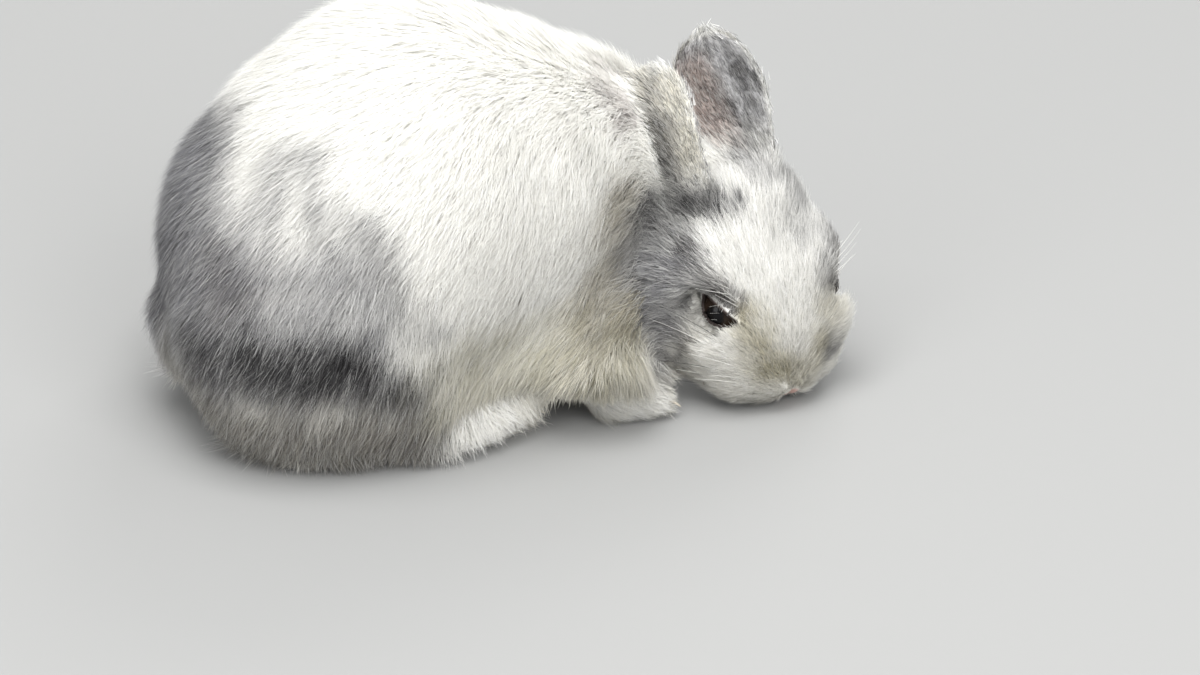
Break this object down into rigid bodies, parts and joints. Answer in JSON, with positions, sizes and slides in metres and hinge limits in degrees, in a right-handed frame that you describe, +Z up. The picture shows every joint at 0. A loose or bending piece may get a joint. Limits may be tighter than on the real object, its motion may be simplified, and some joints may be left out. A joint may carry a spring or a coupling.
{
  "type": "grazing rabbit figure",
  "caption": "Life-size rabbit crouched at graze, body rounded, head turned to its right with the muzzle on the ground and ears upright.",
  "frame": {"origin": "on the floor, under the middle of the animal's box", "axes": "+X the way the body faces, +Y the animal's left, +Z up"},
  "size_m": [0.2592, 0.1552, 0.1599],
  "materials": {
    "trunk": "dense soft white fur with grey patches",
    "neck": "soft grey and white fur",
    "head": "short soft white fur, grey at the sides",
    "tail": "fluffy grey fur",
    "haunch": "soft grey fur with pale tips",
    "hind_foot": "dense cream-white fur",
    "foreleg": "dense cream-white fur",
    "ear": "very short grey fur, pink skin inside",
    "eye": "wet and glossy"
  },
  "bodies": {
    "root": {"trunk": "trunk", "neck": "neck", "head": "head", "tail": "tail", "haunch_left": "haunch", "haunch_right": "haunch", "hind_foot_left": "hind_foot", "hind_foot_right": "hind_foot", "foreleg_left": "foreleg", "foreleg_right": "foreleg", "ear_left": "ear", "ear_right": "ear", "eye_left": "eye", "eye_right": "eye"}
  },
  "joints": []
}
